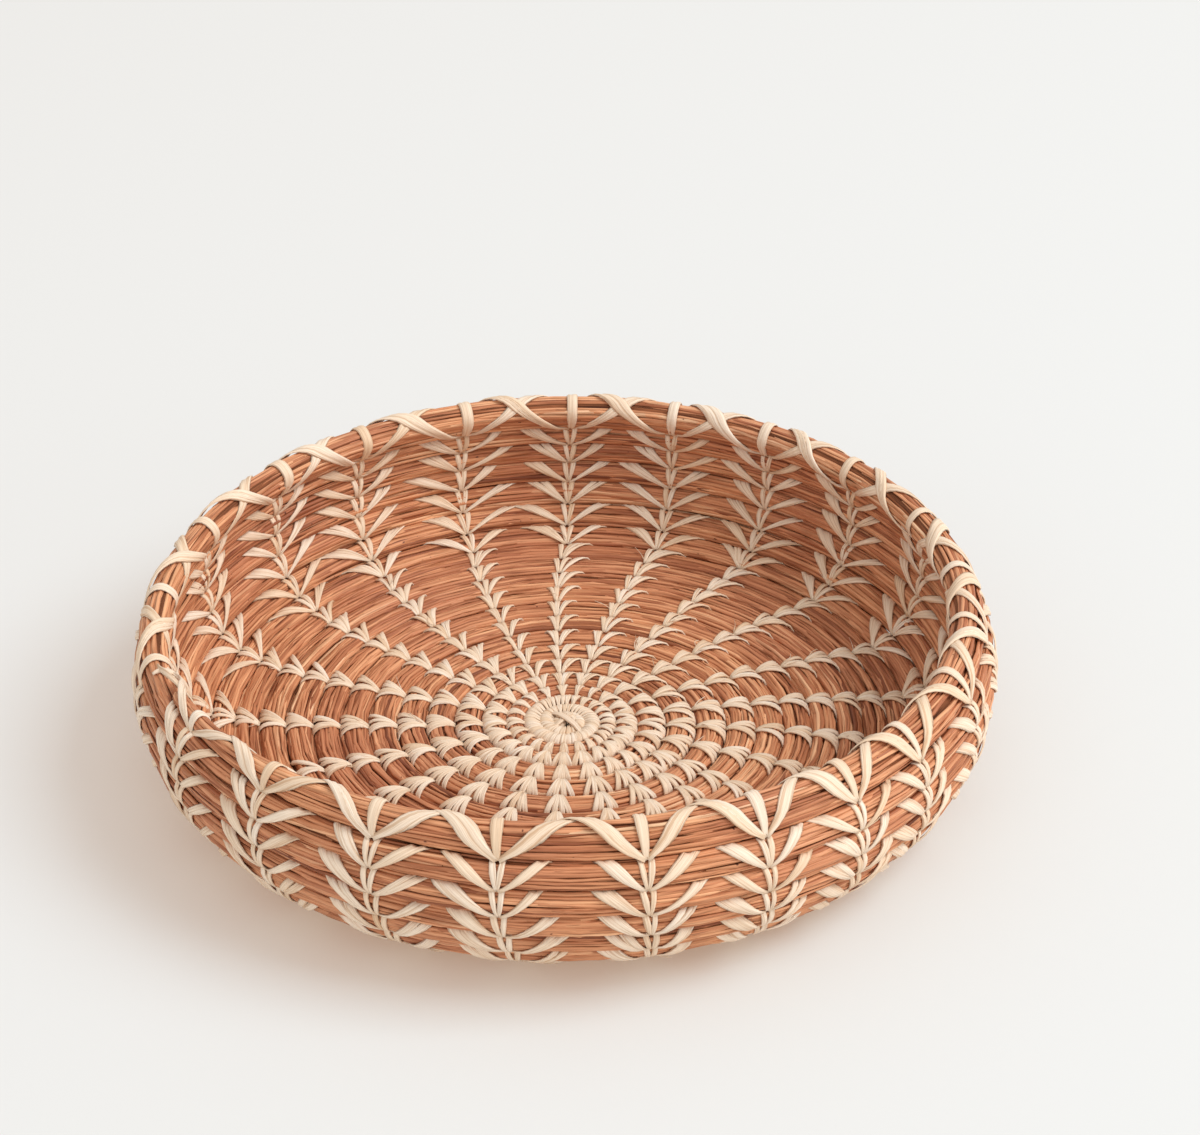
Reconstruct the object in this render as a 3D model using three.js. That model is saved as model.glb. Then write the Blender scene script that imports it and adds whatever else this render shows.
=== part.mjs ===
// A round coiled basket. One bundle of long pine needles is wound in a spiral, flat for the floor and then
// up and over into a bowl wall with a thicker rim. Its start is wrapped in raffia. Raffia stitches tie each
// row to the row inside it, and they line up in straight lines from the middle to the rim: a plain spoke on
// the floor and a fern of paired leaves on the wall.
// Millimetres, +Z up, origin on the table under the bowl's middle.

import * as THREE from 'three';

// Size of the bowl, along the middle line of its wall
const ROW_PITCH = 8.0;
const FLAT_FLOOR_RADIUS = 90.0;
const WALL_BEND_RADIUS = 26.4;

// Rows of the coil, counted from the middle outwards
const START_ROWS = 3;
const FLOOR_ROWS = 9;
const LOWER_WALL_ROWS = 2;
const MIDDLE_WALL_ROWS = 2;
const UPPER_WALL_ROWS = 1;
const SHOULDER_ROWS = 1;
const RIM_ROWS = 1;

// The needle bundle: its thickness through the wall, and how it swells at the rim and thins at both tips
const COIL_THICKNESS = 7.4;
const RIM_THICKNESS = 8.6;
const RIM_CROWN = 0.7;
const RIM_SWELL_ROWS = 0.15;
const START_TIP_SHARE = 0.4;
const END_TIP_SHARE = 0.4;
const END_TAPER_STEPS = 2;

// Raffia stitches. The rim ends half way from one line to the next, so many lines past the first
const STITCH_LINES = 22;
const FIRST_LINE_DEGREES = 93;
const LINES_BEFORE_RIM_END = 6;
const STITCH_THICKNESS = 0.6;
const STITCH_BETWEEN_ROWS = 0.7;
const SPOKE_INNER_WIDTH = 2.2;
const SPOKE_OUTER_WIDTH = 4.2;
const STEM_WIDTH = 2.4;
const LEAF_SPAN = 17.0;
const LEAF_TIP_DROP = 1.4;
const RIM_WRAP_WIDTH = 3.0;

// The lines were laid by eye: up to so many degrees past their even place in one direction, and short of it
// in the opposite one
const STRAY_DEGREES = 5.0;
const STRAY_DIRECTION_DEGREES = 252;

// Pieces that touch keep this gap
const CLEARANCE = 0.3;

// Colours and finishes
const NEEDLE_COLOUR = 0xc4845c;
const NEEDLE_ROUGHNESS = 0.62;
const RAFFIA_COLOUR = 0xecd6b2;
const RAFFIA_ROUGHNESS = 0.7;

// Worked out from the sizes above
const STEP_ANGLE = (2 * Math.PI) / STITCH_LINES;
const FIRST_LINE_ANGLE = THREE.MathUtils.degToRad(FIRST_LINE_DEGREES);
const LINES_TO_RIM_END = LINES_BEFORE_RIM_END + 0.5;
const RIM_END_ANGLE = FIRST_LINE_ANGLE + LINES_TO_RIM_END * STEP_ANGLE;
const STRAY_ANGLE = THREE.MathUtils.degToRad(STRAY_DEGREES);
const STRAY_DIRECTION = THREE.MathUtils.degToRad(STRAY_DIRECTION_DEGREES);
const FLOOR_END = START_ROWS + FLOOR_ROWS;
const LOWER_WALL_END = FLOOR_END + LOWER_WALL_ROWS;
const MIDDLE_WALL_END = LOWER_WALL_END + MIDDLE_WALL_ROWS;
const UPPER_WALL_END = MIDDLE_WALL_END + UPPER_WALL_ROWS;
const WALL_END = UPPER_WALL_END + SHOULDER_ROWS;
const COIL_END = WALL_END + RIM_ROWS;
const END_TAPER_ROWS = END_TAPER_STEPS / STITCH_LINES;
const COIL_WIDTH = ROW_PITCH - STITCH_BETWEEN_ROWS - 2 * CLEARANCE;
const STITCH_REACH = COIL_THICKNESS / 2 + CLEARANCE + STITCH_THICKNESS;
const FLOOR_MIDDLE_HEIGHT = STITCH_REACH;

// The coil is straight from step to step, so its corners stand a little out and its chords a little in
const CORNER_SHARE = 2 / (1 + Math.cos(STEP_ANGLE / 2));

// A point of the wall in its radial plane: along is the distance from the middle along the middle line of the
// wall, and inward is the distance from that line towards the inside of the bowl
function wallPoint(along, inward) {
  const bend = Math.max(0, along - FLAT_FLOOR_RADIUS) / WALL_BEND_RADIUS;
  const radius = Math.min(along, FLAT_FLOOR_RADIUS) + WALL_BEND_RADIUS * Math.sin(bend);
  const height = FLOOR_MIDDLE_HEIGHT + WALL_BEND_RADIUS * (1 - Math.cos(bend));
  return new THREE.Vector2(radius - inward * Math.sin(bend), height + inward * Math.cos(bend));
}

// The bundle where so many rows have been wound: its place along the wall, and how far it reaches from there
// towards the row inside it, towards the row outside it and through the wall
function bundleAt(row) {
  const startShare = Math.min(1, START_TIP_SHARE + (1 - START_TIP_SHARE) * row);
  const endShare = Math.min(1, END_TIP_SHARE + (1 - END_TIP_SHARE) * ((COIL_END - row) / END_TAPER_ROWS));
  const rimShare = THREE.MathUtils.clamp((row - WALL_END) / RIM_SWELL_ROWS, 0, 1);
  const share = startShare * endShare;
  const thickness = THREE.MathUtils.lerp(COIL_THICKNESS, RIM_THICKNESS, rimShare);
  const outerEdge = row * ROW_PITCH + COIL_WIDTH / 2;
  const innerEdge = row * ROW_PITCH - COIL_WIDTH / 2;
  const middle = endShare < 1 ? innerEdge + (COIL_WIDTH * share) / 2 : outerEdge - (COIL_WIDTH * share) / 2;
  return {
    middle,
    toInnerRow: (COIL_WIDTH / 2) * share,
    toOuterRow: (COIL_WIDTH / 2 + RIM_CROWN * rimShare) * share,
    throughWall: (thickness / 2) * share,
  };
}

// The coil grows clockwise seen from above, one turn a row
function evenAzimuthAt(row) {
  return RIM_END_ANGLE - 2 * Math.PI * row;
}

function strayed(evenAzimuth) {
  return evenAzimuth + STRAY_ANGLE * Math.cos(evenAzimuth - STRAY_DIRECTION);
}

// The straight piece of the coil whose middle is at an even azimuth: the azimuth of that middle as strayed,
// and how far in it lies, as a share of the radius at the corners
function chordAt(evenAzimuth) {
  const from = strayed(evenAzimuth - STEP_ANGLE / 2);
  const to = strayed(evenAzimuth + STEP_ANGLE / 2);
  return { azimuth: (from + to) / 2, share: Math.cos((to - from) / 2) };
}

// The six corners of the bundle's section, with flats towards its neighbours, in the radial plane at one step
function sectionCorners(row) {
  const { middle, toInnerRow, toOuterRow, throughWall } = bundleAt(row);
  return [
    wallPoint(middle + toOuterRow, -throughWall / 2),
    wallPoint(middle + toOuterRow, throughWall / 2),
    wallPoint(middle, throughWall),
    wallPoint(middle - toInnerRow, throughWall / 2),
    wallPoint(middle - toInnerRow, -throughWall / 2),
    wallPoint(middle, -throughWall),
  ];
}

function inSpace(point, azimuth, sideways) {
  return new THREE.Vector3(
    point.x * Math.cos(azimuth) + sideways * Math.sin(azimuth),
    point.x * Math.sin(azimuth) - sideways * Math.cos(azimuth),
    point.y,
  );
}

function closedSolid(name, points, triangles, colour, roughness) {
  const geometry = new THREE.BufferGeometry();
  geometry.setAttribute('position', new THREE.Float32BufferAttribute(points.flatMap((p) => p.toArray()), 3));
  geometry.setIndex(triangles.flat());
  geometry.computeVertexNormals();
  const material = new THREE.MeshStandardMaterial({ color: colour, roughness, metalness: 0 });
  const mesh = new THREE.Mesh(geometry, material);
  mesh.name = name;
  return mesh;
}

// The rows at which the coil has a corner, from one wound length to another. An end that meets the next
// stretch of the coil stops short by half the clearance
function cornerRows(from, to) {
  const rows = [];
  for (let step = Math.round(from * STITCH_LINES); step <= Math.round(to * STITCH_LINES); step += 1) {
    rows.push(step / STITCH_LINES);
  }
  if (from > 0) {
    rows[0] += CLEARANCE / 2 / (2 * Math.PI * wallPoint(from * ROW_PITCH, 0).x);
  }
  if (to < COIL_END) {
    rows[rows.length - 1] -= CLEARANCE / 2 / (2 * Math.PI * wallPoint(to * ROW_PITCH, 0).x);
  }
  return rows;
}

// One unbroken stretch of the coil: a tube whose section follows the spiral, closed by a flat at each end
function coilStretch(name, from, to, colour, roughness) {
  const rows = cornerRows(from, to);
  const points = [];
  for (const row of rows) {
    const azimuth = strayed(evenAzimuthAt(row));
    for (const corner of sectionCorners(row)) {
      points.push(inSpace(new THREE.Vector2(corner.x * CORNER_SHARE, corner.y), azimuth, 0));
    }
  }
  const sides = points.length / rows.length;
  const lastRing = points.length - sides;
  const triangles = [];
  for (let ring = 0; ring < lastRing; ring += sides) {
    for (let i = 0; i < sides; i += 1) {
      const j = (i + 1) % sides;
      triangles.push([ring + i, ring + j, ring + sides + j]);
      triangles.push([ring + i, ring + sides + j, ring + sides + i]);
    }
  }
  for (let i = 1; i < sides - 1; i += 1) {
    triangles.push([0, i + 1, i]);
    triangles.push([lastRing, lastRing + i, lastRing + i + 1]);
  }
  return closedSolid(name, points, triangles, colour, roughness);
}

// The least gap between the coil and its next row, measured on points along the flats that face each other
function leastRowGap() {
  let least = Infinity;
  for (let step = 0; step <= (COIL_END - 1) * STITCH_LINES; step += 0.5) {
    const row = step / STITCH_LINES;
    const chord = CORNER_SHARE * (Number.isInteger(step) ? 1 : chordAt(evenAzimuthAt(row)).share);
    const inner = sectionCorners(row).slice(0, 2);
    const outer = sectionCorners(row + 1).slice(3, 5).reverse();
    for (let share = 0; share <= 1; share += 0.1) {
      const a = inner[0].clone().lerp(inner[1], share);
      const b = outer[0].clone().lerp(outer[1], share);
      least = Math.min(least, Math.hypot((a.x - b.x) * chord, a.y - b.y));
    }
  }
  return least;
}

// Triangles between two chains of corners that run the same way along the wall, the outer chain first. The
// chains are followed together, and whichever corner comes next along the wall is joined on
function fillStrip(outer, inner) {
  const triangles = [];
  let i = 0;
  let j = 0;
  while (i < outer.length - 1 || j < inner.length - 1) {
    const nextOuter = i < outer.length - 1 ? outer[i + 1].along : Infinity;
    const nextInner = j < inner.length - 1 ? inner[j + 1].along : Infinity;
    if (nextOuter <= nextInner) {
      triangles.push([outer[i], outer[i + 1], inner[j]]);
      i += 1;
    } else {
      triangles.push([outer[i], inner[j + 1], inner[j]]);
      j += 1;
    }
  }
  return triangles;
}

// The two lids of a line of stitches: its rails under and over the rows, and the webs between its holes
function ladderLid(rails, holes, hasFirstWeb) {
  const lid = [
    ...fillStrip(rails.outer, holes.flatMap((hole) => hole.outer)),
    ...fillStrip(holes.flatMap((hole) => hole.inner), rails.inner),
  ];
  const first = { outer: [rails.outer[0]], inner: [rails.inner[0]] };
  const last = { outer: [rails.outer.at(-1)], inner: [rails.inner.at(-1)] };
  const gaps = [...(hasFirstWeb ? [first] : []), ...holes, last];
  for (let i = 1; i < gaps.length; i += 1) {
    const below = gaps[i - 1];
    const above = gaps[i];
    lid.push(...fillStrip([below.outer.at(-1), above.outer[0]], [below.inner.at(-1), above.inner[0]]));
  }
  return lid;
}

// A line of stitches: a flat ladder in one radial plane, with a hole for each row that it ties. Each corner
// has its own half width, so that the stitches can widen into leaves
function stitchLine(name, line, lid) {
  const chord = chordAt(FIRST_LINE_ANGLE + line * STEP_ANGLE);
  const corners = [...new Set(lid.flat())];
  const numbers = new Map(corners.map((corner, number) => [corner, number]));
  const points = [];
  for (const side of [-1, 1]) {
    for (const corner of corners) {
      const place = wallPoint(corner.along, corner.inward);
      place.x *= CORNER_SHARE * chord.share;
      points.push(inSpace(place, chord.azimuth, side * corner.halfWidth));
    }
  }
  const far = corners.length;
  const triangles = [];
  const edges = new Map();
  for (const [a, b, c] of lid.map((triangle) => triangle.map((corner) => numbers.get(corner)))) {
    triangles.push([c, b, a]);
    triangles.push([a + far, b + far, c + far]);
    for (const [from, to] of [[a, b], [b, c], [c, a]]) {
      edges.set(`${from} ${to}`, [from, to]);
    }
  }
  for (const [from, to] of edges.values()) {
    if (!edges.has(`${to} ${from}`)) {
      triangles.push([from, to, to + far]);
      triangles.push([from, to + far, from + far]);
    }
  }
  return closedSolid(name, points, triangles, RAFFIA_COLOUR, RAFFIA_ROUGHNESS);
}

// The rows that one line of stitches crosses, from one row of the coil up to another
function rowsOnLine(line, from, to) {
  const share = THREE.MathUtils.euclideanModulo((LINES_TO_RIM_END - line) / STITCH_LINES, 1);
  const bundles = [];
  for (let row = from; row < to; row += 1) {
    bundles.push(bundleAt(row + share));
  }
  return bundles;
}

function isInBend(along) {
  return along > FLAT_FLOOR_RADIUS;
}

// The hole round one row, as its outer and its inner side. Where the wall bends the outer side has a corner
// at the bundle's ridge
function rowHole(bundle, halfWidth) {
  const low = bundle.middle - bundle.toInnerRow - CLEARANCE;
  const high = bundle.middle + bundle.toOuterRow + CLEARANCE;
  const reach = bundle.throughWall + CLEARANCE;
  const ridge = isInBend(high) ? [{ along: bundle.middle, inward: -reach, halfWidth }] : [];
  return {
    outer: [{ along: low, inward: -reach, halfWidth }, ...ridge, { along: high, inward: -reach, halfWidth }],
    inner: [{ along: low, inward: reach, halfWidth }, { along: high, inward: reach, halfWidth }],
  };
}

// The hole round the rim's row has a corner at each corner of the bundle
function rimHole(bundle, halfWidth) {
  const low = bundle.middle - bundle.toInnerRow - CLEARANCE;
  const high = bundle.middle + bundle.toOuterRow + CLEARANCE;
  const side = (way) => [
    { along: low, inward: way * (bundle.throughWall / 2 + CLEARANCE), halfWidth },
    { along: bundle.middle, inward: way * (bundle.throughWall + CLEARANCE), halfWidth },
    { along: high, inward: way * (bundle.throughWall / 2 + CLEARANCE), halfWidth },
  ];
  return { outer: side(-1), inner: side(1) };
}

function numbered(kind, line) {
  return `${kind}_${String(line + 1).padStart(2, '0')}`;
}

// A spoke ties the floor's rows. Its underside is flat, and the basket stands on it
function floorSpoke(line) {
  const rows = rowsOnLine(line, START_ROWS, FLOOR_END);
  const edge = COIL_WIDTH / 2 + CLEARANCE + STITCH_BETWEEN_ROWS;
  const start = rows[0].middle - edge;
  const end = rows.at(-1).middle + edge;
  const halfWidthAt = (along) => {
    return THREE.MathUtils.mapLinear(along, start, end, SPOKE_INNER_WIDTH, SPOKE_OUTER_WIDTH) / 2;
  };
  const bent = rows.flatMap((b) => [b.middle - ROW_PITCH / 2, b.middle]).filter(isInBend);
  const stations = [start, FLAT_FLOOR_RADIUS, ...bent, end].filter((along) => along <= end);
  const rail = (inward) => stations.map((along) => ({ along, inward, halfWidth: halfWidthAt(along) }));
  const rails = { outer: rail(-STITCH_REACH), inner: rail(STITCH_REACH) };
  const holes = rows.map((b) => rowHole(b, halfWidthAt(b.middle)));
  return stitchLine(numbered('floor_spoke', line), line, ladderLid(rails, holes, true));
}

// A fern ties the wall's rows and goes over the rim. On both faces it widens over each row into a pair of
// leaves and is narrow again where it passes between two rows. Its foot straddles the first wall row
function wallFern(line) {
  const rows = rowsOnLine(line, FLOOR_END, COIL_END);
  const wallRows = rows.slice(0, WALL_END - FLOOR_END);
  const rim = rows.at(-1);
  const stem = STEM_WIDTH / 2;
  const wrap = RIM_WRAP_WIDTH / 2;
  const footEnd = rows[0].middle - COIL_WIDTH / 2;
  const rimReach = rim.throughWall + CLEARANCE + STITCH_THICKNESS;
  const rimTop = rim.middle + rim.toOuterRow + CLEARANCE + STITCH_THICKNESS;
  const rail = (way) => [
    { along: footEnd, inward: way * STITCH_REACH, halfWidth: stem },
    ...wallRows.map((b) => b.middle + ROW_PITCH / 2).flatMap((groove) => [
      { along: groove - LEAF_TIP_DROP, inward: way * STITCH_REACH, halfWidth: LEAF_SPAN / 2 },
      { along: groove, inward: way * STITCH_REACH, halfWidth: stem },
    ]),
    { along: rim.middle, inward: way * rimReach, halfWidth: wrap },
    { along: rimTop, inward: (way * rimReach) / 2, halfWidth: wrap },
  ];
  const holes = [...wallRows.map((b) => rowHole(b, stem)), rimHole(rim, stem)];
  holes[0].outer[0].along = footEnd;
  holes[0].inner[0].along = footEnd;
  const rails = { outer: rail(-1), inner: rail(1) };
  return stitchLine(numbered('wall_fern', line), line, ladderLid(rails, holes, false));
}

const needleStretches = [
  ['needle_coil_floor', START_ROWS, FLOOR_END],
  ['needle_coil_lower_wall', FLOOR_END, LOWER_WALL_END],
  ['needle_coil_middle_wall', LOWER_WALL_END, MIDDLE_WALL_END],
  ['needle_coil_upper_wall', MIDDLE_WALL_END, UPPER_WALL_END],
  ['needle_coil_shoulder', UPPER_WALL_END, WALL_END],
  ['needle_coil_rim', WALL_END, COIL_END],
];

const basket = new THREE.Group();
basket.add(coilStretch('raffia_start_coil', 0, START_ROWS, RAFFIA_COLOUR, RAFFIA_ROUGHNESS));
for (const [name, from, to] of needleStretches) {
  basket.add(coilStretch(name, from, to, NEEDLE_COLOUR, NEEDLE_ROUGHNESS));
}
for (let line = 0; line < STITCH_LINES; line += 1) {
  basket.add(floorSpoke(line));
  basket.add(wallFern(line));
}
console.log(`least gap of the coil to itself: ${leastRowGap().toFixed(2)} mm`);

export default basket;
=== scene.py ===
"""Looks of a round basket: pine needles wound in a spiral and tied row to row with raffia.

Every strand is placed in coil coordinates: how many rows have been wound, and the turn round the bundle.
Lengths are in millimetres until a mesh is written. Blender's unit is the metre.
"""

import math

import bpy
import numpy as np
from mathutils import Matrix, Vector


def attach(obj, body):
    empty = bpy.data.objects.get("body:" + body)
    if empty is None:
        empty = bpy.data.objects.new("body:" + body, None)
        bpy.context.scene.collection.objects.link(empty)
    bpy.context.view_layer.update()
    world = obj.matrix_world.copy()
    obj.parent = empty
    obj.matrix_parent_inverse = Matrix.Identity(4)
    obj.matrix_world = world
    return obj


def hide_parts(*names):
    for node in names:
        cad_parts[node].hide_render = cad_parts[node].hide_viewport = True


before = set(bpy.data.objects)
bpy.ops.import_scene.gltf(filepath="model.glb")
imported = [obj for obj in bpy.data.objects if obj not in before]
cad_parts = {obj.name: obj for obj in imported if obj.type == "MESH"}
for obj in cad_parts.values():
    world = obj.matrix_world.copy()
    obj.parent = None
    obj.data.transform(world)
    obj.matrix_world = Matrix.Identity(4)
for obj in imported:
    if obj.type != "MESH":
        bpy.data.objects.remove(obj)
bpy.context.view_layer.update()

MM = 0.001
FULL_TURN = 2 * math.pi

# The bowl along the middle line of its wall
ROW_PITCH = 8.0
FLAT_FLOOR_RADIUS = 90.0
WALL_BEND_RADIUS = 26.4
FLOOR_MIDDLE_HEIGHT = 4.6

# How the rows stray from even spacing: tight round the start, spread on the floor, close on the upper wall
START_PITCH = 3.7
START_PITCH_ROW = 1.7
START_PITCH_SOFTNESS = 0.9
FLOOR_SPREAD = 1.6
OVAL_FIRST_ROW = 1.5
OVAL_ROWS = 11.0
OVAL_MEAN = 1.1
OVAL_TO_RIGHT = 1.0
OVAL_TO_SIDES = 1.9
WALL_CLOSING = 4.0
CLOSING_ROW = 13.6
CLOSING_ROWS = 5.0

# Rows of the coil, counted outwards. The tight start has about two turns more than even rows would have
COIL_START = -2.2
BUTTON_END = 0.3
START_END = 3
FLOOR_MIDDLE = 8
FLOOR_END = 12
LOWER_WALL_END = 14
MIDDLE_WALL_END = 16
UPPER_WALL_END = 17
WALL_END = 18
COIL_END = 19

# The needle bundle: half its size between its neighbour rows and half its thickness through the wall
BUNDLE_HALF_WIDTH = 3.95
BUNDLE_HALF_THICKNESS = 3.7
START_HALF_THICKNESS = 2.7
BUNDLE_SQUARENESS = 0.82
RIM_HALF_THICKNESS = 4.1
RIM_CROWN = 2.9
RIM_SWELL_ROWS = 0.15
CROWN_FALL_ROW = 18.72
CROWN_FALL_ROWS = 0.22
START_SHARE = 0.8
START_TAPER_ROWS = 0.3
TIP_SHARE = 0.4
END_TAPER_ROWS = 2 / 22
LENGTH_STEPS = 4400
PINCH = 0.05
PINCH_REACH = 4.0

# Lines of stitches, laid by eye: all stray by a cosine of their direction, and each by an angle of its own
STITCH_LINES = 22
FIRST_LINE = math.radians(93)
LINE_STEP = FULL_TURN / STITCH_LINES
RIM_END_AZIMUTH = FIRST_LINE + 6.5 * LINE_STEP
STRAY = math.radians(5.0)
STRAY_DIRECTION = math.radians(252)
LINE_STRAYS = np.radians([
    0.7, 0.6, 0.7, -0.9, -0.7, -0.5, -0.7, -0.7, -0.9, -0.2, -0.2,
    2.3, 2.4, 1.2, -1.4, -0.8, -0.8, -2.0, -1.5, 1.0, 1.6, 1.3,
])

# Below the rim the lines lean counterclockwise, most of all on the left side
LEAN_ROWS = 5.5
LEAN_MEAN = math.radians(1.0)
LEAN_TO_LEFT = math.radians(2.5)
LEAN_DIRECTION = math.radians(195)
FLOOR_SWIRL = math.radians(4.0)

# The photograph, taken as 1200 by 1135 pixels, and where its camera stood
PHOTO_WIDTH = 1200
PHOTO_HEIGHT = 1135
FOCAL_PIXELS = 3400
SENSOR_WIDTH = 36.0
CAMERA_DISTANCE = 968.9
CAMERA_ELEVATION = 0.608
MIDDLE_IN_PHOTO = (564.7, 728.7)


# Coil coordinates

def smooth_step(share):
    """Rises from 0 to 1 with a level start and end."""
    share = np.clip(share, 0, 1)
    return share * share * (3 - 2 * share)


def wall_point(along, inward):
    """Radius and height of points of the wall. The middle line runs flat to the floor's radius and then
    round an arc, and a point lies inward of it, square to the line."""
    bend = np.maximum(0, along - FLAT_FLOOR_RADIUS) / WALL_BEND_RADIUS
    radius = np.minimum(along, FLAT_FLOOR_RADIUS) + WALL_BEND_RADIUS * np.sin(bend)
    height = FLOOR_MIDDLE_HEIGHT + WALL_BEND_RADIUS * (1 - np.cos(bend))
    return radius - inward * np.sin(bend), height + inward * np.cos(bend)


def row_place(row):
    """How far along the wall a row's middle is: a pitch a row, plus a soft bend to the tight pitch of the
    start, plus the spread of the floor's rows, which the upper wall takes back and more. The middle rows of
    the floor are slightly oval, wider to the right and left."""
    before = (START_PITCH_ROW - row) / START_PITCH_SOFTNESS
    start = (ROW_PITCH - START_PITCH) * START_PITCH_SOFTNESS * np.log1p(np.exp(before))
    closing = WALL_CLOSING * smooth_step((row - CLOSING_ROW) / CLOSING_ROWS)
    even = even_azimuth_at(row)
    oval = OVAL_MEAN + OVAL_TO_RIGHT * np.cos(even) + OVAL_TO_SIDES * np.cos(2 * even)
    share = np.clip((row - OVAL_FIRST_ROW) / OVAL_ROWS, 0, 1)
    return row * ROW_PITCH + start + FLOOR_SPREAD - closing + oval * np.sin(math.pi * share)


def pitch_at(row):
    """Half the way along the wall from the row before to the row after."""
    return (row_place(row + 1) - row_place(row - 1)) / 2


def even_azimuth_at(row):
    """The coil grows clockwise seen from above, one full turn a row, and ends at the rim's end."""
    return RIM_END_AZIMUTH - FULL_TURN * row


def azimuth_at(row):
    """The azimuth turned from its even place by a cosine of its own direction."""
    even = even_azimuth_at(row)
    return even + STRAY * np.cos(even - STRAY_DIRECTION)


def line_azimuth(line):
    """The even azimuth of a line of stitches, with the line's own stray."""
    return FIRST_LINE + line * LINE_STEP + LINE_STRAYS[line % STITCH_LINES]


def lean_at(row):
    """How far a line of stitches leans counterclockwise where it passes a row. It grows from the rim down to
    the lower wall by a cosine of the direction, and over the floor by the root of the rows to its edge."""
    on_wall = LEAN_MEAN + LEAN_TO_LEFT * np.cos(even_azimuth_at(row) - LEAN_DIRECTION)
    on_floor = FLOOR_SWIRL * np.sqrt(np.clip((FLOOR_END - row) / (FLOOR_END - START_END), 0, 1))
    return on_wall * smooth_step((WALL_END - row) / LEAN_ROWS) + on_floor


def radius_at(row):
    """Distance of the coil's middle line from the bowl's axis."""
    return np.maximum(wall_point(row_place(row), 0)[0], 1.0)


def off_line(row):
    """How far along the coil the nearest line of stitches is, in millimetres."""
    steps = (even_azimuth_at(row) - lean_at(row) - FIRST_LINE) / LINE_STEP
    nearest = np.round(steps)
    own = LINE_STRAYS[nearest.astype(int) % STITCH_LINES]
    return ((steps - nearest) * LINE_STEP - own) * radius_at(row)


def bundle_at(row):
    """Middle, half width and half thickness of the bundle. It is slim at the start, swells at the rim, where
    its crown sinks again over the last quarter, thins at both tips and is drawn in a little by each line of
    stitches."""
    rim = np.clip((row - WALL_END) / RIM_SWELL_ROWS, 0, 1)
    tip = np.clip(START_SHARE + (1 - START_SHARE) * (row - COIL_START) / START_TAPER_ROWS, START_SHARE, 1)
    end = np.clip(TIP_SHARE + (1 - TIP_SHARE) * (COIL_END - row) / END_TAPER_ROWS, TIP_SHARE, 1)
    grown = np.clip((row - COIL_START) / (START_END - COIL_START), 0, 1)
    crown = RIM_CROWN * rim * (1 - smooth_step((row - CROWN_FALL_ROW) / CROWN_FALL_ROWS))
    half_width = BUNDLE_HALF_WIDTH * pitch_at(row) / ROW_PITCH + crown / 2
    middle = row_place(row) + crown / 2 - half_width * (1 - end)
    half_thickness = (START_HALF_THICKNESS + (BUNDLE_HALF_THICKNESS - START_HALF_THICKNESS) * grown
                      + (RIM_HALF_THICKNESS - BUNDLE_HALF_THICKNESS) * rim)
    pinch = 1 - PINCH * np.exp(-((off_line(row) / PINCH_REACH) ** 2))
    return middle, half_width * tip * end, half_thickness * tip * end * pinch


def squared(value):
    """A sine or cosine drawn towards 1, so that the bundle's section is an oval with squarer corners."""
    return np.sign(value) * np.abs(value) ** BUNDLE_SQUARENESS


def on_bundle(row, turn, lift):
    """Points on the bundle's skin. Turn 0 faces the next row out, a quarter turn faces the inside of the
    bowl, half a turn faces the row before. Lift is the height over the skin."""
    middle, half_width, half_thickness = bundle_at(row)
    along = middle + (half_width + lift) * squared(np.cos(turn))
    radius, height = wall_point(along, (half_thickness + lift) * squared(np.sin(turn)))
    azimuth = azimuth_at(row)
    return np.stack([radius * np.cos(azimuth), radius * np.sin(azimuth), height], -1)


def length_table():
    """The coil's wound length, in millimetres, at evenly spaced rows: the sum of its small arcs."""
    rows = np.linspace(COIL_START, COIL_END, LENGTH_STEPS)
    return rows, np.concatenate([[0], np.cumsum(FULL_TURN * radius_at(rows[:-1]) * np.diff(rows))])


ROW_SAMPLES, LENGTH_SAMPLES = length_table()


# Meshes of strands

# How far apart two strands are in the third direction of their noise
NUMBER_STEP = 7.31


def unit(vectors):
    """Vectors divided by their own length."""
    return vectors / np.maximum(np.linalg.norm(vectors, axis=-1, keepdims=True), 1e-9)


def rings_about(middle, out, half_width, half_height, section, twist):
    """Rings of corners round the middles of many strands at once. A ring is the section scaled by half width
    across and half height outwards, and turned by twist about the strand."""
    ahead = unit(np.gradient(middle, axis=1))
    across = unit(np.cross(ahead, out))
    out = np.cross(across, ahead)
    side = section[:, 0] * half_width[..., None]
    rise = section[:, 1] * half_height[..., None]
    turned_side = side * np.cos(twist)[..., None] - rise * np.sin(twist)[..., None]
    turned_rise = side * np.sin(twist)[..., None] + rise * np.cos(twist)[..., None]
    shift = turned_side[..., None] * across[:, :, None] + turned_rise[..., None] * out[:, :, None]
    run = np.linalg.norm(np.diff(middle, axis=1, prepend=middle[:, :1]), axis=-1).cumsum(1)
    fibre = np.stack([side, np.broadcast_to(run[..., None], side.shape)], -1)
    return middle[:, :, None] + shift, fibre


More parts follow.
